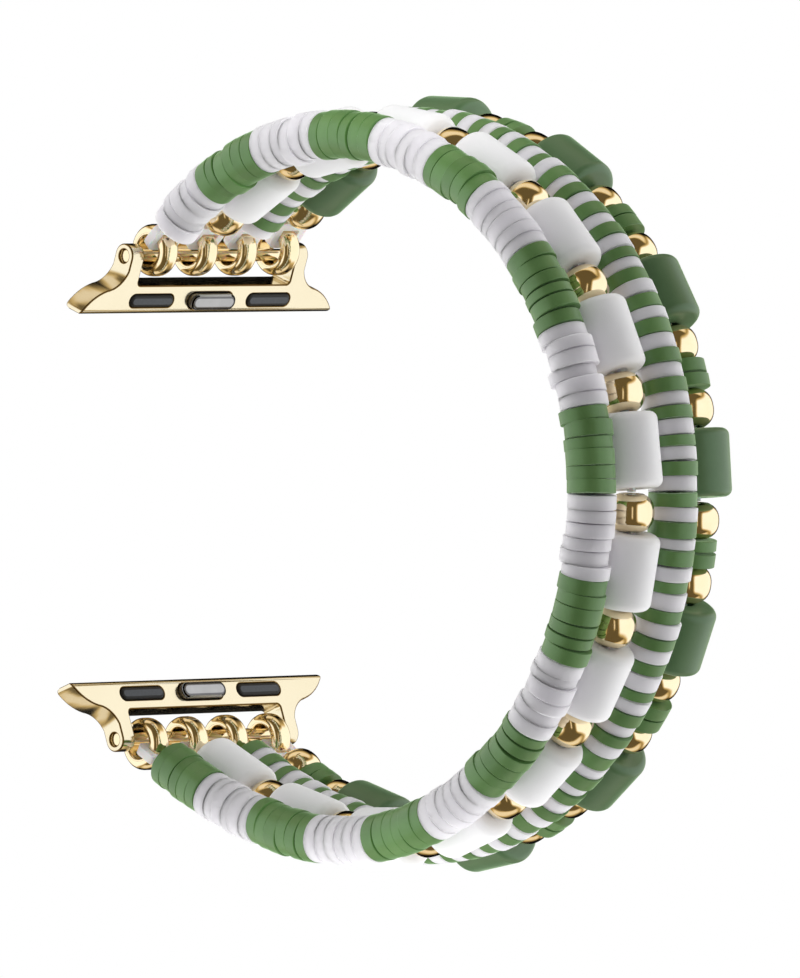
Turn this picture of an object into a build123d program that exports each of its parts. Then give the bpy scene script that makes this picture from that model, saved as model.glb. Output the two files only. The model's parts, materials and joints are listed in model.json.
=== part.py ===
from build123d import *
import os
from math import atan, atan2, cos, hypot, radians, sin

# A watch band of four beaded elastic strands between two slide-in adapters.
# X points to the closed side of the loop, Z is up, and Y runs across the strands.
# The origin is the middle of the upper adapter's nose. The loop's own centre is found from it.

# Loop, seen along Y, with the crossbars' places as shares of its radius
loop_radius = 28.0
stripe_strand_rise = 0.25
block_strand_inset_share = 0.0785714
block_strand_shift = 0.90
loop_arc_angle = 102.0
upper_bar_shares = (-0.7642857, 0.6535714)
lower_bar_shares = (-0.8035714, -0.7321429)
upper_pull_angle = 45.0
lower_pull_angle = -40.0

# Clearances
strand_gap = 0.05
flex_gap = 0.15
bar_fit = 0.04
pad_fit = 0.02
button_fit = 0.06
loop_fit = 0.08
end_play = 0.10
cut_overrun = 1.0

# Clay discs
disc_radius = 1.95
disc_thickness = 0.98
disc_play = 0.04
barrel_play = 0.02
disc_sides = 8
disc_groups_per_half = 10
spacing_rounds = 5

# White and green barrels
white_barrel_radius = 2.45
white_barrel_length = 5.92
green_barrel_radius = 2.80
green_barrel_length = 5.38
barrel_edge = 0.45
barrel_sides = 12

# Gold spacer beads
gold_radius = 1.875
gold_length = 2.60
gold_edge = 0.50
gold_edge_along = 0.75
gold_sides = 8

# Bores and elastic cord
bore_radius = 0.50
barrel_bore_radius = 0.75
bore_sides = 4
cord_radius = 0.35
cord_sides = 6

# Rings threaded on the crossbars
ring_outer_radius = 2.15
ring_inner_radius = 1.20
ring_width = 1.70
ring_edge = 0.35
ring_lift = 0.65
ring_sides = 20

# Crossbars
bar_radius = 0.50
bar_recess = 0.25

# Adapter plates
rail_length = 28.4
plate_thickness = 2.00
nose_drop = 4.70
window_drop = 2.20
ear_width = 1.35
ear_side_gap = 0.07
shoulder_drop = 1.00
adapter_tilt = 20.0
tip_round = 0.25
wing_root_out = 1.80
wing_root_rise = 2.10
wing_bulge = 0.33
wing_hollow = 0.36
window_round = 0.35
nose_round = 0.55
corner_reach = 0.05

# Grip pads and lock button, both on the skin side
pad_length = 4.80
pad_height = 1.05
pad_depth = 0.60
pad_proud = 0.15
pad_spacing = 6.55
pad_rise = 1.20
button_length = 4.85
button_height = 1.30
button_proud = 0.55
button_travel = 0.45
button_lip = 0.50
button_foot_margin = 0.20
button_foot_thickness = 0.35
button_edge = 0.12


def tilted(place, direction, across=(0, 1, 0)):
    """Plane at a place whose normal is the given direction."""
    return Plane(origin=place, x_dir=across, z_dir=direction)


class HalfStrand:
    """Centre line of half a strand, from the flex joint at the closed side to its ring.

    side is 1 for the upper half and -1 for the lower half. The line is an arc of the loop and
    then an end arc, whose end points straight at the middle of the ring. shift moves the place
    where the two halves meet, so that a long bead there stays whole.
    """

    def __init__(self, side, radius, centre_x, y, shift, ring_x, ring_z, reach):
        self.side = side
        self.start = flex_gap / 2 - side * shift
        self.radius = radius
        self.centre_x = centre_x
        self.y = y
        self.turn = radians(loop_arc_angle)
        self.outward = (cos(self.turn), sin(self.turn))
        knee = (centre_x + radius * self.outward[0], radius * self.outward[1])
        step = (ring_x - knee[0], side * ring_z - knee[1])
        inward = step[0] * self.outward[0] + step[1] * self.outward[1]
        self.end_radius = (reach ** 2 - step[0] ** 2 - step[1] ** 2) / (2 * inward)
        self.end_centre = (knee[0] - self.end_radius * self.outward[0],
                           knee[1] - self.end_radius * self.outward[1])
        swing = atan2(side * ring_z - self.end_centre[1], ring_x - self.end_centre[0])
        self.end_turn = swing - atan(reach / self.end_radius)
        self.loop_length = radius * self.turn
        self.length = self.loop_length + self.end_radius * (self.end_turn - self.turn)

    def radius_at(self, travel):
        return self.radius if travel < self.loop_length else self.end_radius

    def seat(self, bead, travel):
        """Middle and axis of a bead at a distance from the flex joint."""
        spot, heading = self.place(travel)
        inward = heading.cross(Vector(0, self.side, 0))
        return spot + inward * bead.sink(self.radius_at(travel)), heading

    def place(self, travel):
        """Point of the centre line and its direction at a distance from the flex joint."""
        if travel < self.loop_length:
            angle = travel / self.radius
            x = self.centre_x + self.radius * cos(angle)
            z = self.radius * sin(angle)
        else:
            angle = self.turn + (travel - self.loop_length) / self.end_radius
            x = self.end_centre[0] + self.end_radius * cos(angle)
            z = self.end_centre[1] + self.end_radius * sin(angle)
        direction = Vector(-sin(angle), 0, self.side * cos(angle))
        return Vector(x, self.y, self.side * z), direction

    def line(self, tail):
        """Wire of the centre line from the flex joint to its end, with a straight tail."""
        first, _ = self.place(self.start)
        middle, _ = self.place((self.start + self.loop_length) / 2)
        knee, _ = self.place(self.loop_length)
        bend, _ = self.place((self.loop_length + self.length) / 2)
        last, along = self.place(self.length)
        parts = [Edge.make_three_point_arc(first, middle, knee),
                 Edge.make_three_point_arc(knee, bend, last),
                 Edge.make_line(last, last + along * tail)]
        return Wire(parts)


class Bead:
    """Kind, length, radius, sides, bore and end chamfer of one bead."""

    def __init__(self, kind, length, radius, sides, bore, edge=0, edge_along=0):
        self.kind = kind
        self.length = length
        self.radius = radius
        self.sides = sides
        self.bore = bore
        self.edge = edge
        self.edge_along = edge_along

    def sink(self, bend):
        """How far inside the centre line the bead sits, so that the bent cord clears its bore."""
        return self.length ** 2 / (16 * bend)

    def span(self, bend):
        """Length of centre line that the bead takes, where its inner edges just clear others."""
        inside = bend - self.radius - self.sink(bend)
        end = atan(self.length / 2 / (inside + self.edge))
        shoulder = atan((self.length / 2 - self.edge_along) / inside)
        return 2 * bend * max(end, shoulder)


white_disc = Bead("white_discs", disc_thickness, disc_radius, disc_sides, bore_radius)
green_disc = Bead("green_discs", disc_thickness, disc_radius, disc_sides, bore_radius)
gold_bead = Bead("gold_beads", gold_length, gold_radius, gold_sides, bore_radius,
                 gold_edge, gold_edge_along)
white_barrel = Bead("white_barrel", white_barrel_length, white_barrel_radius, barrel_sides,
                    barrel_bore_radius, barrel_edge, barrel_edge)
green_barrel = Bead("green_barrel", green_barrel_length, green_barrel_radius, barrel_sides,
                    barrel_bore_radius, barrel_edge, barrel_edge)


def bead_solid(bead):
    """Bead about its own axis, with few sides because there are so many of them."""
    half = bead.length / 2
    shoulder = half - bead.edge_along
    middle = RegularPolygon(bead.radius, bead.sides)
    end = RegularPolygon(bead.radius - bead.edge, bead.sides)
    blank = extrude(middle, shoulder, both=True)
    if bead.edge:
        for side in (-1, 1):
            blank += loft([Pos(0, 0, side * shoulder) * middle, Pos(0, 0, side * half) * end], ruled=True)
    bore = RegularPolygon(bead.bore, bore_sides, major_radius=False)
    return blank - extrude(bore, half + cut_overrun, both=True)


def stacked(half, beads, play):
    """Distances of the beads' middles from the flex joint, each with its play, and the stack's end."""
    travel = half.start
    marks = []
    for bead in beads:
        bend = min(half.radius_at(travel), half.radius_at(travel + bead.length))
        span = bead.span(bend) + play
        marks.append(travel + span / 2)
        travel += span
    return marks, travel


def filled(half, pattern, least_play):
    """Beads of a half strand, as many as fit, with the slack shared evenly.

    pattern(count) gives the beads from the flex joint to the ring.
    """
    count = 1
    while stacked(half, pattern(count + 1), least_play)[1] <= half.length:
        count += 1
    beads = pattern(count)
    play = least_play
    for _ in range(spacing_rounds):
        marks, end = stacked(half, beads, play)
        play += (half.length - end) / len(beads)
    return list(zip(beads, marks))


def group_pattern(first, second):
    """Discs in colour groups of about equal number, from the flex joint to the ring."""
    def beads(count):
        groups = [index * disc_groups_per_half // count for index in range(count)]
        return [second if group % 2 else first for group in groups]
    return beads


def stripe_pattern(first, second):
    """Single discs of alternating colour, from the flex joint to the ring."""
    return lambda count: [second if index % 2 else first for index in range(count)]


def upper_barrel_pattern(count):
    return [white_barrel, gold_bead] * count


def lower_barrel_pattern(count):
    return [gold_bead, white_barrel] * count


def upper_block_pattern(count):
    return [green_barrel, gold_bead, green_disc, green_disc, gold_bead] * count + [green_barrel, gold_bead]


def lower_block_pattern(count):
    period = [gold_bead, green_disc, green_disc, gold_bead, green_barrel]
    return period * count + [gold_bead, green_disc, green_disc, gold_bead]


# Strand places across the band, each as close as its fattest neighbours allow
barrel_pitch = disc_radius + white_barrel_radius + strand_gap
block_pitch = disc_radius + green_barrel_radius + strand_gap
band_span = 2 * barrel_pitch + block_pitch
strand_y = [-band_span / 2, barrel_pitch - band_span / 2, 2 * barrel_pitch - band_span / 2, band_span / 2]
block_strand_rise = green_barrel_radius - white_barrel_radius
strand_radius = [loop_radius, loop_radius, loop_radius + stripe_strand_rise, loop_radius + block_strand_rise]
strand_centre = [0, 0, 0, -block_strand_inset_share * loop_radius]
strand_shift = [0, 0, 0, block_strand_shift]

# Crossbar, ring and cord loop places
upper_bar_x, upper_bar_z = [share * loop_radius for share in upper_bar_shares]
lower_bar_x, lower_bar_z = [share * loop_radius for share in lower_bar_shares]
ring_mid_radius = (ring_outer_radius + ring_inner_radius) / 2
eye_half_long = (ring_outer_radius - ring_inner_radius) / 2 + loop_fit + cord_radius
eye_half_wide = ring_width / 2 + loop_fit + cord_radius
ring_reach = ring_mid_radius + eye_half_long + cord_radius + end_play

halves = {}
rings = {}
for level, side, bar_x, bar_z, pull in (
        ("upper", 1, upper_bar_x, upper_bar_z, upper_pull_angle),
        ("lower", -1, lower_bar_x, lower_bar_z, lower_pull_angle)):
    ring_x = bar_x + ring_lift * cos(radians(pull))
    ring_z = bar_z + ring_lift * sin(radians(pull))
    for number in range(4):
        rings[level, number] = Vector(ring_x, strand_y[number], ring_z)
        halves[level, number] = HalfStrand(side, strand_radius[number], strand_centre[number],
                                           strand_y[number], strand_shift[number],
                                           ring_x, ring_z, ring_reach)


def laid_strand(level, number):
    """Beads of one half strand with their distances from the flex joint."""
    half = halves[level, number]
    pattern, play = {
        ("upper", 0): (group_pattern(green_disc, white_disc), disc_play),
        ("lower", 0): (group_pattern(white_disc, green_disc), disc_play),
        ("upper", 1): (upper_barrel_pattern, barrel_play),
        ("lower", 1): (lower_barrel_pattern, barrel_play),
        ("upper", 2): (stripe_pattern(white_disc, green_disc), disc_play),
        ("lower", 2): (stripe_pattern(green_disc, white_disc), disc_play),
        ("upper", 3): (upper_block_pattern, barrel_play),
        ("lower", 3): (lower_block_pattern, barrel_play),
    }[level, number]
    return filled(half, pattern, play)


def ring_solid(place):
    """Ring with a flat bore and chamfered outer rims, its axis across the band."""
    rim = ring_outer_radius - ring_edge
    half = ring_width / 2
    flat = half - ring_edge
    flat_rim = RegularPolygon(ring_outer_radius, ring_sides)
    flat_end = RegularPolygon(rim, ring_sides)
    ring = extrude(flat_rim, flat, both=True)
    for side in (-1, 1):
        ring += loft([Pos(0, 0, side * flat) * flat_rim, Pos(0, 0, side * half) * flat_end], ruled=True)
    ring -= extrude(RegularPolygon(ring_inner_radius, ring_sides, major_radius=False), ring_width, both=True)
    return tilted(place, (0, 1, 0), (1, 0, 0)) * ring


def cord_solid(half, ring_place):
    """Elastic cord from the flex joint to its loop round the ring's rim."""
    last, along = half.place(half.length)
    tail = end_play + cord_radius
    wire = half.line(tail)
    first, heading = half.place(half.start)
    section = tilted(first, heading) * RegularPolygon(cord_radius, cord_sides)
    cord = sweep(section, path=wire)
    outer = RectangleRounded(2 * (eye_half_long + cord_radius), 2 * (eye_half_wide + cord_radius),
                             2 * cord_radius)
    inner = Rectangle(2 * (eye_half_long - cord_radius), 2 * (eye_half_wide - cord_radius))
    eye = extrude(outer - inner, cord_radius, both=True)
    middle = ring_place - along * ring_mid_radius
    flat = Vector(0, 1, 0).cross(along)
    return cord + Plane(origin=middle, x_dir=along, z_dir=flat) * eye


def slot_prism(length, height, depth):
    """Oblong with round ends, lying along Y, that starts at X zero and runs towards negative X."""
    face = Plane.YZ * SlotOverall(length, height)
    return extrude(face, -depth)


ear_inner = max(abs(y) for y in strand_y) + eye_half_wide + cord_radius + ear_side_gap
ear_outer = ear_inner + ear_width
rail_half = rail_length / 2
pad_z = pad_rise - nose_drop
face_x = plate_thickness / 2
pocket_depth = button_lip + button_foot_thickness + button_travel + 2 * button_fit


def corners_near(face, place):
    """Corners of a flat face at a place and at its mirror image across the middle."""
    return [corner for corner in face.vertices()
            if hypot(abs(corner.Y) - place[0], corner.Z - place[1]) < corner_reach]


def bowed(first, second, bow):
    """Arc between two places whose middle stands off their straight line, upward if bow is positive."""
    slope = (Vector(second) - Vector(first)).normalized()
    middle = (Vector(first) + Vector(second)) / 2
    return ThreePointArc(first, middle + bow * Vector(slope.Y, -slope.X), second)


def plate_solid():
    """Adapter plate about its crossbar's axis, nose down, skin side towards positive X.

    Its outline lies across the band. A wing runs from each end of the nose to an ear, first
    bulging and then hollow.
    """
    top = plate_thickness / 2
    tip = (rail_half, -nose_drop)
    root = (ear_outer + wing_root_out, wing_root_rise - nose_drop)
    shoulder = (ear_outer, -shoulder_drop)
    window = (ear_inner, -window_drop)
    side = Curve() + [Line((0, -nose_drop), tip), bowed(tip, root, wing_bulge),
                      bowed(root, shoulder, -wing_hollow),
                      Polyline(shoulder, (ear_outer, top), (ear_inner, top), window, (0, -window_drop))]
    outline = Plane.YZ * make_face(side + mirror(side, Plane.YZ))
    for corner, size in ((tip, tip_round), (window, window_round)):
        outline = fillet(corners_near(outline, corner), size)
    front = extrude(outline, top, both=True)
    height = nose_drop + top
    profile = Pos(0, (top - nose_drop) / 2) * Rectangle(plate_thickness, height)
    profile = fillet(profile.vertices().group_by(Axis.Y)[0], nose_round)
    profile = fillet(profile.vertices().group_by(Axis.Y)[-1], top - bar_fit)
    plate = front & extrude(Plane.XZ * profile, rail_half + cut_overrun, both=True)
    bar_bore = Cylinder(bar_radius + bar_fit, 2 * ear_outer + cut_overrun, rotation=(90, 0, 0))
    plate -= bar_bore
    for y in (-pad_spacing, pad_spacing):
        pocket = slot_prism(pad_length + 2 * pad_fit, pad_height + 2 * pad_fit, pad_depth)
        plate -= Pos(face_x, y, pad_z) * pocket
    mouth = slot_prism(button_length + 2 * button_fit, button_height + 2 * button_fit, button_lip)
    cavity = slot_prism(button_length + 2 * (button_foot_margin + button_fit),
                        button_height + 2 * (button_foot_margin + button_fit),
                        pocket_depth - button_lip)
    plate -= Pos(face_x, 0, pad_z) * mouth
    plate -= Pos(face_x - button_lip, 0, pad_z) * cavity
    return plate


def crossbar_solid():
    """Bar that holds the rings, its ends a little inside the ears."""
    return Cylinder(bar_radius, 2 * (ear_outer - bar_recess), rotation=(90, 0, 0))


def pad_solids():
    """Two rubber grip pads that stand a little proud of their pockets."""
    pads = []
    for y in (-pad_spacing, pad_spacing):
        pad = slot_prism(pad_length, pad_height, pad_depth + pad_proud)
        pads.append(Pos(face_x + pad_proud, y, pad_z) * pad)
    return Compound(children=pads)


def button_solid():
    """Lock button with a foot that the pocket's lip holds in."""
    head = slot_prism(button_length, button_height, button_proud + button_lip + button_fit)
    front_edges = head.edges().group_by(Axis.X)[-1]
    head = Pos(face_x + button_proud, 0, pad_z) * chamfer(front_edges, button_edge)
    foot = slot_prism(button_length + 2 * button_foot_margin, button_height + 2 * button_foot_margin,
                      button_foot_thickness)
    return head + Pos(face_x - button_lip - button_fit, 0, pad_z) * foot


os.makedirs("parts", exist_ok=True)
seats = {"upper": Pos(upper_bar_x, 0, upper_bar_z) * Rot(0, adapter_tilt, 0),
         "lower": Pos(lower_bar_x, 0, lower_bar_z) * Rot(0, -adapter_tilt, 0) * Rot(180, 0, 0)}
upper_nose = (seats["upper"] * Pos(0, 0, -nose_drop)).position
to_origin = Pos(-upper_nose)
written = []


def write(name, shape):
    """Write one named piece in the part's own frame."""
    shape.label = name
    export_step(to_origin * shape, "parts/" + name + ".step")
    written.append(name)


strand_names = ["strand_a", "strand_b", "strand_c", "strand_d"]
bead_solids = {bead.kind: bead_solid(bead)
               for bead in (white_disc, green_disc, gold_bead, white_barrel, green_barrel)}
barrel_numbers = {"white_barrel": 0, "green_barrel": 0}

for level in ("upper", "lower"):
    cords = []
    for number, strand in enumerate(strand_names):
        half = halves[level, number]
        cords.append(cord_solid(half, rings[level, number]))
        groups = {}
        for bead, travel in laid_strand(level, number):
            solid = tilted(*half.seat(bead, travel)) * bead_solids[bead.kind]
            if bead.kind in barrel_numbers:
                barrel_numbers[bead.kind] += 1
                write("%s_%02d" % (bead.kind, barrel_numbers[bead.kind]), solid)
            else:
                groups.setdefault(bead.kind, []).append(solid)
        for kind, solids in groups.items():
            write("%s_%s_%s" % (strand, kind, level), Compound(children=solids))
            print(strand, kind, level, len(solids))
        write("%s_ring_%d" % (level, number + 1), ring_solid(rings[level, number]))
        print(strand, level, "length", round(half.length, 2), "end radius", round(half.end_radius, 2))
    write("elastic_cords_" + level, Compound(children=cords))

for level, seat in seats.items():
    write(level + "_adapter_plate", seat * plate_solid())
    write(level + "_crossbar", seat * crossbar_solid())
    write(level + "_grip_pads", seat * pad_solids())
    write(level + "_lock_button", seat * button_solid())
print("pieces", len(written))
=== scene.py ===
import itertools
import json
import math
import random

import bpy
import numpy as np
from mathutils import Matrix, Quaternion, Vector


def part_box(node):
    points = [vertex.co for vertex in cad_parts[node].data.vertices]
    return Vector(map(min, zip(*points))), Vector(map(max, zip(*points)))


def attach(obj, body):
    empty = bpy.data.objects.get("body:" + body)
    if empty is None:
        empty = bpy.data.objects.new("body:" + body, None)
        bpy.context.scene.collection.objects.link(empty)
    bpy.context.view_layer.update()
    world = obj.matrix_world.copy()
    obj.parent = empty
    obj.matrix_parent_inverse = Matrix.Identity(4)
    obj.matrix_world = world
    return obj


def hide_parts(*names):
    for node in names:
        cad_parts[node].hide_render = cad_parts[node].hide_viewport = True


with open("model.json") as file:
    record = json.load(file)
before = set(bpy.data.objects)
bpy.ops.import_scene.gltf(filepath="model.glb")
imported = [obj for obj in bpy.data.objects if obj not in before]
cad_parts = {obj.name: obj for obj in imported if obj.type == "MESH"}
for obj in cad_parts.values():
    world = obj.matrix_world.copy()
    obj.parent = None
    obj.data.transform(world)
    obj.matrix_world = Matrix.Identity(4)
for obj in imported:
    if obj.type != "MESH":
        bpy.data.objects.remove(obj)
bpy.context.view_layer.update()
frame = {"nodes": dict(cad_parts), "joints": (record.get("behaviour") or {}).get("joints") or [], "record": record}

# A watch band of four beaded elastic strands between two slide-in adapters.
# Lengths are in metres, in the part's own frame. The places of the beads come from the CAD solids.

MM = 0.001
seed = 7

# Camera, as in the photograph, with its angles in degrees
azimuth = 45.0
elevation = 1.3
camera_distance = 1200 * MM
view_height = 77.87 * MM
sensor = 36.0
nearest_seen = 50 * MM
farthest_seen = 10000 * MM
loop_middle = Vector((23.0075, 0, -13.8834)) * MM
camera_target = loop_middle - Vector((0, 0, 0.19)) * MM

# Ways as the camera has them
camera_turn = math.radians(azimuth)
to_right = Vector((math.cos(camera_turn), math.sin(camera_turn), 0))
to_camera = Vector((math.sin(camera_turn), -math.cos(camera_turn), 0))
upright = Vector((0, 0, 1))

# Clay discs
disc_radius = 1.93 * MM
disc_thickness = 0.98 * MM
disc_bore = 0.56 * MM
disc_rim = 0.05 * MM
disc_bore_rim = 0.04 * MM
disc_round_steps = 4
disc_segments = 40
disc_neighbour_reach = 1.4 * MM

# How discs of hand-cut clay differ from each other
disc_shuffle = 0.15 * MM
disc_plump = 0.12 * MM
disc_tilt = math.radians(1.6)
disc_drift = 0.05 * MM
disc_stray = 0.20 * MM
disc_wobble = 0.05 * MM
gap_share = 0.25
gap_depth = 0.14 * MM
white_gap_share = 0.35

# Discs of the nearest strand that stand in or out from the others, by their angle round the
# loop in degrees
stray_discs = {29.5: -0.30 * MM, 27.0: -0.34 * MM, 20.0: -0.46 * MM, 13.5: -0.16 * MM,
               -7.5: -0.22 * MM, -10.7: -0.40 * MM, -31.0: -0.25 * MM, 58.0: 0.25 * MM,
               -52.0: -0.25 * MM}

# First discs on either side of the flex joint
flex_shift = -0.04 * MM
flex_lean = math.radians(2.2)

# Barrels, with their radius and length
barrel_sizes = {"white": (2.45 * MM, 5.98 * MM), "green": (2.80 * MM, 5.44 * MM)}
barrel_strands = {"white": "b", "green": "d"}
barrel_round = 0.62 * MM
barrel_bore = 0.75 * MM
barrel_bore_round = 0.15 * MM
barrel_round_steps = 7
barrel_segments = 64
barrel_wobble = 0.06 * MM

# Gold beads
gold_radius = 1.875 * MM
gold_length = 2.82 * MM
gold_swell_length = 1.56 * MM
gold_swell_power = 2.4
gold_swell_steps = 14
gold_bore = 0.60 * MM
gold_bore_ease = 0.1 * MM
gold_segments = 48
gold_tilt = math.radians(2)
gold_drift = 0.03 * MM
bead_clearance = 0.05 * MM
meeting_reach = 0.6 * MM

# Rings, four on each crossbar
ring_count = 4
ring_outer = 2.11 * MM
ring_inner = 1.20 * MM
ring_width = 1.84 * MM
ring_round = 0.70 * MM
ring_bore_round = 0.18 * MM
ring_round_steps = 6
ring_segments = 64

# Eased edges of the adapters; on the plates, pads and buttons they take a darker finish, which is painted shade
plate_ease = 0.11 * MM
bar_ease = 0.06 * MM
pad_ease = 0.26 * MM
button_ease = 0.18 * MM
ease_segments = 4
edge_angle = math.radians(40)
flat_angle = math.radians(0.5)
same_corner = 0.001 * MM

# Clay and glaze: how much of the colour comes from each bead's own tone and how much from its
# mottling, the noise values between which it is mottled, and the grain and the dents
tone_share = 0.6
mottle_share = 0.4
mottle_span = (0.3, 0.7)
grain_strength = 0.25
grain_depth = 0.03 * MM
dent_scale = 450.0

# Levels of light, soft on the clay and boxed in what the metal mirrors
backdrop_light = 1.95
sky_loss = 0.6
room_light = 0.40
box_light = 1.20
strip_light = 0.9
shade_light = 0.13
overhead_light = 0.9
white = (1, 1, 1, 1)
amber = (1, 0.74, 0.34, 1)

# Soft edges of the lights, each as the part of a direction that points toward the camera, to the
# right or up, at the edge's start and end
backdrop_far_edge = (-0.95, -0.45)
backdrop_near_edge = (-0.25, 0.3)
sky_edge = (0.2, 0.8)
box_inner_edge = (0.36, 0.6)
box_top_edge = (0.52, 0.8)
strip_left_edge = (0.04, 0.1)
strip_right_edge = (0.14, 0.22)
strip_top_edge = (0.3, 0.55)
strip_far_edge = (0, 0.3)
overhead_low_edge = (0.6, 0.85)
overhead_far_edge = (-0.7, -0.3)
overhead_near_edge = (-0.05, 0.15)
shade_far_edge = (-0.7, -0.2)

# Mirrored light between which amber gives way to white
amber_span = (0.6, 1.15)

# Two soft lamps before the top and the bottom of the loop, with their side and power in watts
lamps = {"lamp_top": (1, 0.08), "lamp_bottom": (-1, 0.055)}
lamp_nearness = 55 * MM
lamp_height = 48 * MM
lamp_aim_height = 30 * MM
lamp_aim_left = 4 * MM
lamp_size = 10 * MM
lamp_spread = math.radians(44)


# Patterns of the beads and rings

def corners(points, radii, steps, lead=0.02 * MM):
    """Closed profile with rounded corners, and a point beside each rounding that keeps flats flat."""
    made = []
    count = len(points)
    for index, (corner, radius) in enumerate(zip(points, radii)):
        here = Vector(corner)
        before = (Vector(points[index - 1]) - here).normalized()
        after = (Vector(points[(index + 1) % count]) - here).normalized()
        half = before.angle(after) / 2
        reach = radius / math.tan(half)
        middle = here + (before + after).normalized() * (radius / math.sin(half))
        start, end = here + before * reach, here + after * reach
        made.append(here + before * (reach + lead))
        first = start - middle
        sweep = first.angle_signed(end - middle)
        for step in range(steps + 1):
            angle = -sweep * step / steps
            spun = Vector((first.x * math.cos(angle) - first.y * math.sin(angle),
                           first.x * math.sin(angle) + first.y * math.cos(angle)))
            made.append(middle + spun)
        made.append(here + after * (reach + lead))
    return [(p.x, p.y) for p in made]


def lathe(name, profile, segments):
    """Smooth ring-shaped body turned about Z from a closed profile of radius and height."""
    count = len(profile)
    verts, faces = [], []
    for turn in range(segments):
        angle = math.tau * turn / segments
        verts += [(r * math.cos(angle), r * math.sin(angle), z) for r, z in profile]
    for turn in range(segments):
        here, there = turn * count, (turn + 1) % segments * count
        for step in range(count):
            after = (step + 1) % count
            faces.append((here + step, there + step, there + after, here + after))
    mesh = bpy.data.meshes.new(name)
    mesh.from_pydata(verts, [], faces)
    mesh.update()
    mesh.shade_smooth()
    made = bpy.data.objects.new(name, mesh)
    bpy.context.scene.collection.objects.link(made)
    return made


def sleeve(name, bore, radius, length, bore_rounding, rim_rounding, steps, segments):
    """Bead with a straight bore, a straight side and rounded rims."""
    half = length / 2
    profile = corners([(bore, -half), (radius, -half), (radius, half), (bore, half)],
                      [bore_rounding, rim_rounding, rim_rounding, bore_rounding], steps)
    return lathe(name, profile, segments)


def gold_bead():
    """Swelling bead, flat at both ends, with the mouths of its bore eased."""
    half = gold_length / 2
    swell = []
    for step in range(gold_swell_steps + 1):
        height = half * (2 * step / gold_swell_steps - 1)
        share = 1 - (abs(height) / gold_swell_length) ** gold_swell_power
        swell.append((gold_radius * share ** (1 / gold_swell_power), height))
    mouth = gold_bore + gold_bore_ease
    profile = [(gold_bore, -half + gold_bore_ease), (mouth, -half), *swell,
               (mouth, half), (gold_bore, half - gold_bore_ease)]
    return lathe("gold_pattern", profile, gold_segments)


disc = sleeve("disc_pattern", disc_bore, disc_radius, disc_thickness,
              disc_bore_rim, disc_rim, disc_round_steps, disc_segments)
gold_round = gold_bead()
ring = sleeve("ring_pattern", ring_inner, ring_outer, ring_width,
              ring_bore_round, ring_round, ring_round_steps, ring_segments)
barrels = {kind: sleeve(kind + "_pattern", barrel_bore, radius, length,
                        barrel_bore_round, barrel_round, barrel_round_steps, barrel_segments)
           for kind, (radius, length) in barrel_sizes.items()}


# Seats of the beads, taken from the CAD solids

def solids_of(node):
    """Unique corner points of each solid of a CAD node."""
    mesh = frame["nodes"][node].data
    places = np.array([v.co for v in mesh.vertices])
    grid = np.round(places / (0.0001 * MM)).astype(np.int64)
    keys, index = np.unique(grid, axis=0, return_inverse=True)
    index = index.reshape(-1)
    points = np.zeros((len(keys), 3))
    points[index] = places
    owner = list(range(len(keys)))

    def root(item):
        while owner[item] != item:
            owner[item] = owner[owner[item]]
            item = owner[item]
        return item

    for face in mesh.polygons:
        first = root(index[face.vertices[0]])
        for corner in face.vertices[1:]:
            owner[root(index[corner])] = first
    groups = {}
    for item in range(len(keys)):
        groups.setdefault(root(item), []).append(points[item])
    return [np.array(group) for group in groups.values()]


class Seat:
    """Place and axis of one bead, with the node that it belongs to.

    The axis points the way that the angle round the loop grows. The bead is then shifted and
    stretched along it, and shifted outward from the middle of the loop.
    """

    def __init__(self, node, centre, axis, length=0.0):
        self.node = node
        self.length = length
        self.centre = Vector(centre)
        self.axis = Vector(axis).normalized()
        backward_round = Vector((0, 1, 0)).cross(self.centre - loop_middle)
        if self.axis.dot(backward_round) > 0:
            self.axis = -self.axis
        self.angle = math.atan2(centre[2] - loop_middle.z, centre[0] - loop_middle.x)
        self.shift = 0.0
        self.stretch = 1.0
        self.outward = 0.0

    def place(self):
        """Where the bead's middle comes to lie."""
        away = self.centre - loop_middle
        away.y = 0
        away = (away - self.axis * away.dot(self.axis)).normalized()
        return self.centre + self.axis * self.shift + away * self.outward


def flat_seats(node, length):
    """Seats of a node's beads, which are shorter along their axis than across it."""
    seats = []
    for points in solids_of(node):
        centre = points.mean(0)
        _, vectors = np.linalg.eigh(np.cov((points - centre).T))
        seats.append(Seat(node, centre, vectors[:, 0], length))
    return seats


def barrel_kind(node):
    """White or green, from the node's name."""
    return node.split("_")[0]


# Materials

def set_inputs(node, values):
    for name, value in values.items():
        node.inputs[name].default_value = value


def add(tree, kind, values=None, **settings):
    """New node with its inputs and its settings."""
    node = tree.nodes.new(kind)
    for name, value in settings.items():
        setattr(node, name, value)
    set_inputs(node, values or {})
    return node


def new_material(name):
    made = bpy.data.materials.new(name)
    made.use_nodes = True
    tree = made.node_tree
    return made, tree, tree.nodes["Principled BSDF"]


def colour(red, green, blue):
    """Scene colour from display values between 0 and 255."""
    made = []
    for value in (red, green, blue):
        share = value / 255
        made.append(share / 12.92 if share <= 0.04045 else ((share + 0.055) / 1.055) ** 2.4)
    return (*made, 1)


def mixed(tree, factor, first, second):
    """Colour between two colours. The Mix node's colour sockets have numbers, not names."""
    node = add(tree, "ShaderNodeMix", data_type="RGBA")
    tree.links.new(factor, node.inputs[0])
    node.inputs[6].default_value = first
    node.inputs[7].default_value = second
    return node.outputs[2]


def noise_on(tree, scale, detail, roughness=0.5):
    """Noise that is fixed to the piece."""
    noise = add(tree, "ShaderNodeTexNoise",
                {"Scale": scale, "Detail": detail, "Roughness": roughness})
    place = tree.nodes.new("ShaderNodeTexCoord").outputs["Object"]
    tree.links.new(place, noise.inputs["Vector"])
    return noise.outputs["Fac"]


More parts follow.
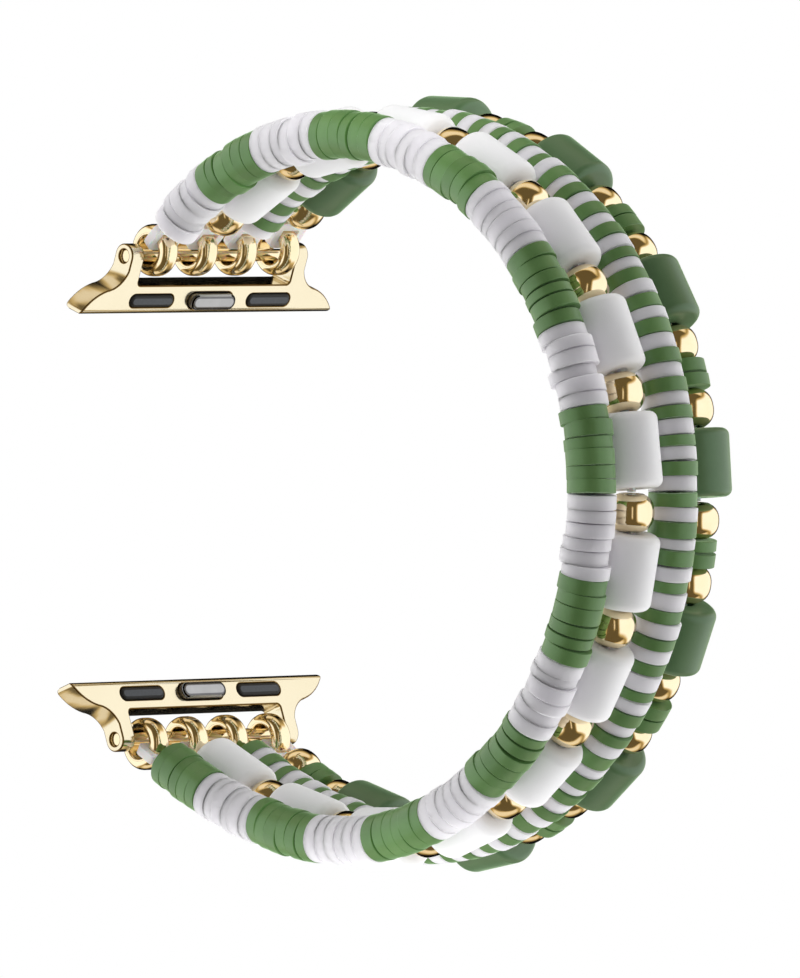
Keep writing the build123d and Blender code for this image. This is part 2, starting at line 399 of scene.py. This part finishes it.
def matte(name, dark, light, roughness, mottle, grain, gloss):
    """Matte clay, each bead a little lighter or darker, mottled and finely grained."""
    made, tree, shader = new_material(name)
    link = tree.links.new
    tone = add(tree, "ShaderNodeAttribute", attribute_name="tone")
    tone_part = add(tree, "ShaderNodeMath", operation="MULTIPLY")
    tone_part.inputs[1].default_value = tone_share
    link(tone.outputs["Fac"], tone_part.inputs[0])
    mottle_part = add(tree, "ShaderNodeMapRange", {
        "From Min": mottle_span[0], "From Max": mottle_span[1], "To Max": mottle_share})
    link(noise_on(tree, mottle, 4.0, 0.6), mottle_part.inputs["Value"])
    both = add(tree, "ShaderNodeMath", operation="ADD")
    link(tone_part.outputs[0], both.inputs[0])
    link(mottle_part.outputs["Result"], both.inputs[1])
    link(mixed(tree, both.outputs[0], dark, light), shader.inputs["Base Color"])
    bump = add(tree, "ShaderNodeBump", {"Strength": grain_strength, "Distance": grain_depth})
    link(noise_on(tree, grain, 3.0, 0.55), bump.inputs["Height"])
    link(bump.outputs["Normal"], shader.inputs["Normal"])
    set_inputs(shader, {"Roughness": roughness, **gloss})
    return made


def metal(name, dark, light, roughness, smear, scale):
    """Polished metal with a faint change of colour and roughness over it."""
    made, tree, shader = new_material(name)
    noise = noise_on(tree, scale, 3.0)
    tree.links.new(mixed(tree, noise, dark, light), shader.inputs["Base Color"])
    span = add(tree, "ShaderNodeMapRange", {"To Min": roughness, "To Max": roughness + smear})
    tree.links.new(noise, span.inputs["Value"])
    tree.links.new(span.outputs["Result"], shader.inputs["Roughness"])
    set_inputs(shader, {"Metallic": 1.0})
    return made


def plain(name, dark, light, roughness, grain, depth=None):
    """Even material with a fine change of colour, and light that soaks in where a depth is given."""
    made, tree, shader = new_material(name)
    tree.links.new(mixed(tree, noise_on(tree, grain, 2.0), dark, light), shader.inputs["Base Color"])
    set_inputs(shader, {"Roughness": roughness})
    if depth:
        set_inputs(shader, {"Subsurface Weight": 0.4, "Subsurface Scale": depth})
    return made


def waxy(depth):
    """Gloss of a white bead, with light that soaks in."""
    return {"Specular IOR Level": 0.35, "Subsurface Weight": 1.0,
            "Subsurface Radius": (1, 1, 1), "Subsurface Scale": depth}


green_sheen = {"Specular IOR Level": 0.65, "Sheen Weight": 1.0, "Sheen Roughness": 0.25,
               "Sheen Tint": (0.7, 1.0, 0.6, 1)}
clays = {
    "green": matte("green_clay", colour(80, 122, 61), colour(99, 143, 79),
                   roughness=0.42, mottle=700, grain=9000, gloss=green_sheen),
    "white": matte("white_clay", colour(230, 226, 234), colour(240, 236, 243),
                   roughness=0.6, mottle=700, grain=9000, gloss=waxy(1.5 * MM)),
}
glazes = {
    "green": matte("green_barrel", colour(74, 108, 68), colour(88, 124, 82),
                   roughness=0.40, mottle=450, grain=12000, gloss=green_sheen),
    "white": matte("white_barrel", colour(240, 239, 241), colour(246, 245, 247),
                   roughness=0.55, mottle=450, grain=12000, gloss=waxy(2.5 * MM)),
}
gold = metal("polished_gold", colour(242, 222, 180), colour(251, 237, 204),
             roughness=0.07, smear=0.06, scale=500)
plate_gold = metal("plate_gold", colour(229, 218, 187), colour(237, 226, 198),
                   roughness=0.14, smear=0.04, scale=300)
# Darker gold for the eased edges of the adapter plates: painted shade, a dark reflection painted along the rounded
# edges.
gold_edge_painted_shade = metal("gold_edge_painted_shade", colour(108, 84, 42), colour(132, 104, 56),
                  roughness=0.20, smear=0.05, scale=300)
silver = metal("satin_silver", colour(160, 161, 162), colour(184, 185, 186),
               roughness=0.30, smear=0.06, scale=900)
# Darker silver for the eased edges of the lock buttons: a painted dark outline of shade.
silver_edge_painted_shade = metal("silver_edge_painted_shade", colour(96, 96, 98), colour(120, 120, 122),
                    roughness=0.30, smear=0.06, scale=900)
pad_rubber = plain("pad_rubber", colour(52, 56, 62), colour(70, 75, 82),
                   roughness=0.42, grain=5000)
# Near black for the eased edges of the grip pads: painted shadow of the gap round each pad.
pad_edge_painted_shadow = plain("pad_edge_painted_shadow", colour(10, 11, 13), colour(18, 19, 22),
                 roughness=0.6, grain=5000)
clear_elastic = plain("clear_elastic", colour(244, 245, 246), colour(252, 252, 252),
                      roughness=0.3, grain=3000, depth=0.5 * MM)


# Rows of beads

def bead_row():
    """Geometry nodes that lay a bead at every point of a row, each a little different."""
    tree = bpy.data.node_groups.new("bead_row", "GeometryNodeTree")
    link = tree.links.new
    sockets = {}
    for name, kind in (("Geometry", "NodeSocketGeometry"), ("Bead", "NodeSocketObject"),
                       ("Material", "NodeSocketMaterial"), ("Tilt", "NodeSocketFloat"),
                       ("Drift", "NodeSocketFloat"), ("Wobble", "NodeSocketFloat"),
                       ("Seed", "NodeSocketInt")):
        made = tree.interface.new_socket(name, in_out="INPUT", socket_type=kind)
        sockets[name] = made.identifier
    tree.interface.new_socket("Geometry", in_out="OUTPUT", socket_type="NodeSocketGeometry")
    put = tree.nodes.new("NodeGroupInput").outputs
    out = tree.nodes.new("NodeGroupOutput")

    def named(name, kind):
        """What the row's points hold under a name."""
        node = add(tree, "GeometryNodeInputNamedAttribute", {"Name": name}, data_type=kind)
        return node.outputs["Attribute"]

    def swing(limit, step):
        """Random vector between minus and plus a limit, with a seed of its own."""
        node = add(tree, "FunctionNodeRandomValue", data_type="FLOAT_VECTOR")
        less = add(tree, "ShaderNodeMath", operation="MULTIPLY")
        less.inputs[1].default_value = -1.0
        link(limit, less.inputs[0])
        link(less.outputs[0], node.inputs["Min"])
        link(limit, node.inputs["Max"])
        own_seed = tree.nodes.new("ShaderNodeMath")
        own_seed.inputs[1].default_value = step
        link(put["Seed"], own_seed.inputs[0])
        link(own_seed.outputs[0], node.inputs["Seed"])
        return node.outputs["Value"]

    # The bead's axis along the strand, with a little tilt
    aim = add(tree, "FunctionNodeAlignRotationToVector", axis="Z")
    link(named("along", "FLOAT_VECTOR"), aim.inputs["Vector"])
    tip = tree.nodes.new("FunctionNodeEulerToRotation")
    link(swing(put["Tilt"], 1), tip.inputs["Euler"])
    turned = add(tree, "FunctionNodeRotateRotation", rotation_space="LOCAL")
    link(aim.outputs["Rotation"], turned.inputs["Rotation"])
    link(tip.outputs["Rotation"], turned.inputs["Rotate By"])

    # A bead on every point, as thick as the point says
    size = add(tree, "ShaderNodeCombineXYZ", {"X": 1.0, "Y": 1.0})
    link(named("stretch", "FLOAT"), size.inputs["Z"])
    bead = tree.nodes.new("GeometryNodeObjectInfo")
    link(put["Bead"], bead.inputs["Object"])
    lay = tree.nodes.new("GeometryNodeInstanceOnPoints")
    link(put["Geometry"], lay.inputs["Points"])
    link(bead.outputs["Geometry"], lay.inputs["Instance"])
    link(turned.outputs["Rotation"], lay.inputs["Rotation"])
    link(size.outputs[0], lay.inputs["Scale"])

    # Drift across the axis, never along it
    flat = add(tree, "ShaderNodeVectorMath", operation="MULTIPLY")
    flat.inputs[1].default_value = (1, 1, 0)
    link(swing(put["Drift"], 2), flat.inputs[0])
    shove = tree.nodes.new("GeometryNodeTranslateInstances")
    link(lay.outputs["Instances"], shove.inputs["Instances"])
    link(flat.outputs[0], shove.inputs["Translation"])

    # Each bead's tone, which the clay's colour reads
    shade = tree.nodes.new("FunctionNodeRandomValue")
    link(put["Seed"], shade.inputs["Seed"])
    keep = add(tree, "GeometryNodeStoreNamedAttribute", {"Name": "tone"}, domain="INSTANCE")
    link(shove.outputs["Instances"], keep.inputs["Geometry"])
    link(shade.outputs[1], keep.inputs["Value"])
    real = tree.nodes.new("GeometryNodeRealizeInstances")
    link(keep.outputs["Geometry"], real.inputs["Geometry"])

    # Faint dents and swells
    noise = add(tree, "ShaderNodeTexNoise", {"Scale": dent_scale, "Detail": 1.0})
    centred = add(tree, "ShaderNodeVectorMath", operation="SUBTRACT")
    centred.inputs[1].default_value = (0.5, 0.5, 0.5)
    link(noise.outputs["Color"], centred.inputs[0])
    much = add(tree, "ShaderNodeVectorMath", operation="SCALE")
    link(centred.outputs[0], much.inputs[0])
    link(put["Wobble"], much.inputs["Scale"])
    bend = tree.nodes.new("GeometryNodeSetPosition")
    link(real.outputs["Geometry"], bend.inputs["Geometry"])
    link(much.outputs[0], bend.inputs["Offset"])
    paint = tree.nodes.new("GeometryNodeSetMaterial")
    link(bend.outputs["Geometry"], paint.inputs["Geometry"])
    link(put["Material"], paint.inputs["Material"])
    link(paint.outputs["Geometry"], out.inputs["Geometry"])
    return tree, sockets


row_tree, row_sockets = bead_row()
row_seeds = itertools.count(seed + 1)


def lay_row(node, body, seats, bead, material, tilt=0.0, drift=0.0, wobble=0.0):
    """Beads on their seats as one mesh, which stands for a CAD node and rides on its body."""
    name = node + "_shown"
    points = bpy.data.meshes.new(name + "_points")
    points.from_pydata([tuple(seat.place()) for seat in seats], [], [])
    along = points.attributes.new("along", "FLOAT_VECTOR", "POINT")
    along.data.foreach_set("vector", [part for seat in seats for part in seat.axis])
    stretch = points.attributes.new("stretch", "FLOAT", "POINT")
    stretch.data.foreach_set("value", [seat.stretch for seat in seats])
    carrier = bpy.data.objects.new(name + "_row", points)
    bpy.context.scene.collection.objects.link(carrier)
    modifier = carrier.modifiers.new("row", "NODES")
    modifier.node_group = row_tree
    for key, value in (("Bead", bead), ("Material", material), ("Tilt", tilt),
                       ("Drift", drift), ("Wobble", wobble), ("Seed", next(row_seeds))):
        modifier[row_sockets[key]] = value
    bpy.context.view_layer.update()
    depsgraph = bpy.context.evaluated_depsgraph_get()
    mesh = bpy.data.meshes.new_from_object(carrier.evaluated_get(depsgraph))
    mesh.name = name
    bpy.data.objects.remove(carrier)
    made = bpy.data.objects.new(name, mesh)
    bpy.context.scene.collection.objects.link(made)
    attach(made, body)
    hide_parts(node)


def vary_discs(discs, sign):
    """Gives each disc a thickness of its own, and a place between its neighbours."""
    borders = [0.0]
    for first, second in zip(discs, discs[1:]):
        close = (first.centre - second.centre).length < disc_neighbour_reach
        borders.append(rng.uniform(-disc_shuffle, disc_shuffle) if close else 0.0)
    borders.append(0.0)
    for seat, near, far in zip(discs, borders, borders[1:]):
        slack = gap_depth if rng.random() < gap_share else 0
        if "white" in seat.node:
            slack *= white_gap_share
        thickness = disc_thickness + disc_plump + far - near - slack
        seat.stretch = thickness / disc_thickness
        seat.shift = (near + far) / 2 * sign
        seat.outward = max(-disc_stray, min(disc_stray, rng.gauss(0, disc_stray / 3)))


def lean_first(discs, sign):
    """Turns the disc beside the flex joint a little, so that the two halves close there."""
    first = discs[0]
    first.shift += flex_shift * sign
    first.axis = Quaternion(to_right, -flex_lean * sign) @ first.axis


def set_strays(discs, sign):
    for angle, stray in stray_discs.items():
        if angle * sign > 0:
            nearest = min(discs, key=lambda seat: abs(math.degrees(seat.angle) - angle))
            nearest.outward = stray


def meet_neighbours(beads, line):
    """Shifts and stretches beads so that they all but touch the ones on either side."""
    for seat in beads:
        ends = [-seat.length / 2, seat.length / 2]
        for near in line:
            offset = near.centre + near.axis * near.shift - seat.centre
            way = 1 if offset.dot(seat.axis) > 0 else -1
            reach = offset.length - near.length * near.stretch / 2 - bead_clearance
            if near is not seat and abs(reach - seat.length / 2) < meeting_reach:
                ends[(way + 1) // 2] = reach * way
        seat.shift = (ends[0] + ends[1]) / 2
        seat.stretch = (ends[1] - ends[0]) / seat.length


rng = random.Random(seed)
bodies = frame["record"]["behaviour"]["bodies"]
barrel_seats = {}
for joint in frame["joints"]:
    if joint["name"].endswith("_spin"):
        node = bodies[joint["child"]][0]
        length = barrel_sizes[barrel_kind(node)][1]
        barrel_seats[joint["child"]] = Seat(node, joint["pos_m"], joint["axis"], length)

# Strands, each in an upper and a lower half
for level, sign in (("upper", 1), ("lower", -1)):
    for strand in "abcd":
        rows = {}
        for kind in ("white_discs", "green_discs", "gold_beads"):
            node = "strand_%s_%s_%s" % (strand, kind, level)
            if node in frame["nodes"]:
                rows[node] = flat_seats(node, gold_length if "gold" in kind else disc_thickness)
        together = sorted((seat for seats in rows.values() for seat in seats),
                          key=lambda seat: abs(seat.angle))
        discs = [seat for seat in together if "discs" in seat.node]
        vary_discs(discs, sign)
        if strand in "ac":
            lean_first(discs, sign)
        if strand == "a":
            set_strays(discs, sign)
        near_barrels = [seat for seat in barrel_seats.values()
                        if barrel_strands[barrel_kind(seat.node)] == strand
                        and seat.angle * sign > 0]
        meet_neighbours([seat for seat in together if "gold" in seat.node],
                        together + near_barrels)
        for node, seats in rows.items():
            if "discs" in node:
                shade = "white" if "white" in node else "green"
                lay_row(node, level + "_strands", seats, disc, clays[shade],
                        disc_tilt, disc_drift, disc_wobble)
            else:
                lay_row(node, level + "_strands", seats, gold_round, gold,
                        gold_tilt, gold_drift)

# Barrels, each on its own body
for body, seat in barrel_seats.items():
    kind = barrel_kind(seat.node)
    lay_row(seat.node, body, [seat], barrels[kind], glazes[kind],
            wobble=barrel_wobble)

# Rings
for level in ("upper", "lower"):
    for index in range(1, ring_count + 1):
        node = "%s_ring_%d" % (level, index)
        low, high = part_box(node)
        seat = Seat(node, (low + high) / 2, (0, 1, 0))
        lay_row(node, level + "_strands", [seat], ring, gold)

for pattern in (disc, gold_round, ring, *barrels.values()):
    bpy.data.objects.remove(pattern)


# CAD nodes that show as they are, with the finish of their faces, that of their eased edges, which on the plates,
# pads and buttons is painted shade, and how far the edges are eased

finishes = {
    "adapter_plate": (plate_gold, gold_edge_painted_shade, plate_ease),
    "crossbar": (gold, gold, bar_ease),
    "grip_pads": (pad_rubber, pad_edge_painted_shadow, pad_ease),
    "lock_button": (silver, silver_edge_painted_shade, button_ease),
    "cords": (clear_elastic, clear_elastic, 0),
}


def ease_edges(node, ease):
    """Joins the loose triangles into flat faces and rounds the edges between them, which take the node's second
    material, a darker finish of painted shade where one is given.
    """
    node.modifiers.new("join", "WELD").merge_threshold = same_corner
    flats = node.modifiers.new("flats", "DECIMATE")
    flats.decimate_type = "DISSOLVE"
    flats.angle_limit = flat_angle
    eased = node.modifiers.new("ease", "BEVEL")
    eased.use_clamp_overlap = False
    eased.width = ease
    eased.segments = ease_segments
    eased.limit_method = "ANGLE"
    eased.angle_limit = edge_angle
    # The rounded edges take the second material, which paints shade on them where it is darker.
    eased.material = 1
    eased.harden_normals = True


for name, node in frame["nodes"].items():
    if node.hide_render:
        continue
    kind = name.split("_", 1)[1] if name.startswith(("upper", "lower")) else "cords"
    # The second finish, for the eased edges, is painted shade on the plates, pads and buttons.
    face, edge, ease = finishes[kind]
    node.data.materials.clear()
    node.data.materials.append(face)
    node.data.materials.append(edge)
    if ease:
        ease_edges(node, ease)


# Surroundings

def surroundings():
    """White for the camera, soft light on the clay, and boxes of light for the metal to mirror."""
    world = bpy.data.worlds.new("studio")
    bpy.context.scene.world = world
    world.use_nodes = True
    tree = world.node_tree
    link = tree.links.new
    back = tree.nodes["Background"]
    way = tree.nodes.new("ShaderNodeTexCoord").outputs["Generated"]

    def feed(value, socket):
        """A number is set on the socket, and an output is linked to it."""
        if isinstance(value, (int, float)):
            socket.default_value = value
        else:
            link(value, socket)

    def part_along(direction):
        node = add(tree, "ShaderNodeVectorMath", operation="DOT_PRODUCT")
        link(way, node.inputs[0])
        node.inputs[1].default_value = direction
        return node.outputs["Value"]

    def reckon(operation, first, *others):
        """One operation on two values, or on several from the first to the last."""
        for other in others:
            node = add(tree, "ShaderNodeMath", operation=operation)
            feed(first, node.inputs[0])
            feed(other, node.inputs[1])
            first = node.outputs[0]
        return first

    def rising(value, edge, level=1):
        """From nothing at the edge's start to the level at its end."""
        node = add(tree, "ShaderNodeMapRange",
                   {"From Min": edge[0], "From Max": edge[1], "To Max": level},
                   interpolation_type="SMOOTHSTEP")
        link(value, node.inputs["Value"])
        return node.outputs["Result"]

    def falling(value, edge, loss=1):
        """From one at the edge's start to what is left at its end."""
        return reckon("SUBTRACT", 1, rising(value, edge, loss))

    def chosen(flag, usual, other):
        """The other strength for rays of one kind."""
        node = tree.nodes.new("ShaderNodeMix")
        link(flag, node.inputs[0])
        feed(usual, node.inputs[2])
        feed(other, node.inputs[3])
        return node.outputs[0]

    rightward = part_along(to_right)
    upward = part_along(upright)
    nearer = part_along(to_camera)
    sideways = reckon("ABSOLUTE", rightward, 0)
    steep = reckon("ABSOLUTE", upward, 0)

    # For the clay, light all round the edge of the view, less of it from above, and an even room
    around = reckon("MULTIPLY", rising(nearer, backdrop_far_edge, backdrop_light),
                    falling(nearer, backdrop_near_edge), falling(upward, sky_edge, sky_loss))
    soft = reckon("ADD", around, room_light)

    # For the metal, a light box on each side, a strip in front, light above and below, and shade
    boxes = reckon("MULTIPLY", falling(steep, box_top_edge),
                   rising(sideways, box_inner_edge, box_light))
    strip = reckon("MULTIPLY", rising(rightward, strip_left_edge, strip_light),
                   falling(rightward, strip_right_edge), falling(steep, strip_top_edge),
                   rising(nearer, strip_far_edge))
    overhead = reckon("MULTIPLY", rising(steep, overhead_low_edge, overhead_light),
                      rising(nearer, overhead_far_edge), falling(nearer, overhead_near_edge))
    shade = rising(nearer, shade_far_edge, shade_light)
    mirrored = reckon("MAXIMUM", boxes, strip, shade, overhead)

    ray = tree.nodes.new("ShaderNodeLightPath").outputs
    strength = chosen(ray["Is Camera Ray"], chosen(ray["Is Glossy Ray"], soft, mirrored), 1.0)
    link(strength, back.inputs["Strength"])

    # Where the metal mirrors shade, the shade is amber
    warm = reckon("SUBTRACT", ray["Is Glossy Ray"], rising(mirrored, amber_span),
                  ray["Is Camera Ray"])
    warm = reckon("MAXIMUM", warm, 0)
    link(mixed(tree, warm, white, amber), back.inputs["Color"])


surroundings()

for name, (side, power) in lamps.items():
    lamp = bpy.data.lights.new(name, "SPOT")
    lamp.shadow_soft_size = lamp_size
    lamp.spot_size = lamp_spread
    lamp.spot_blend = 1.0
    lamp.energy = power
    made = bpy.data.objects.new(name, lamp)
    bpy.context.scene.collection.objects.link(made)
    made.location = loop_middle + to_camera * lamp_nearness + upright * lamp_height * side
    target = loop_middle - to_right * lamp_aim_left + upright * lamp_aim_height * side
    made.rotation_mode = "QUATERNION"
    made.rotation_quaternion = (target - made.location).to_track_quat("-Z", "Y")
    made.visible_camera = False
    made.visible_glossy = False

# Camera
rise = math.radians(elevation)
backward = to_camera * math.cos(rise) + upright * math.sin(rise)
camera_data = bpy.data.cameras.new("camera")
camera_data.sensor_width = sensor
camera_data.lens = sensor * camera_distance / view_height
camera_data.clip_start = nearest_seen
camera_data.clip_end = farthest_seen
camera = bpy.data.objects.new("camera", camera_data)
bpy.context.scene.collection.objects.link(camera)
camera.location = camera_target + backward * camera_distance
camera.rotation_mode = "QUATERNION"
camera.rotation_quaternion = (-backward).to_track_quat("-Z", "Y")
bpy.context.scene.camera = camera
bpy.context.scene.view_settings.view_transform = "Standard"
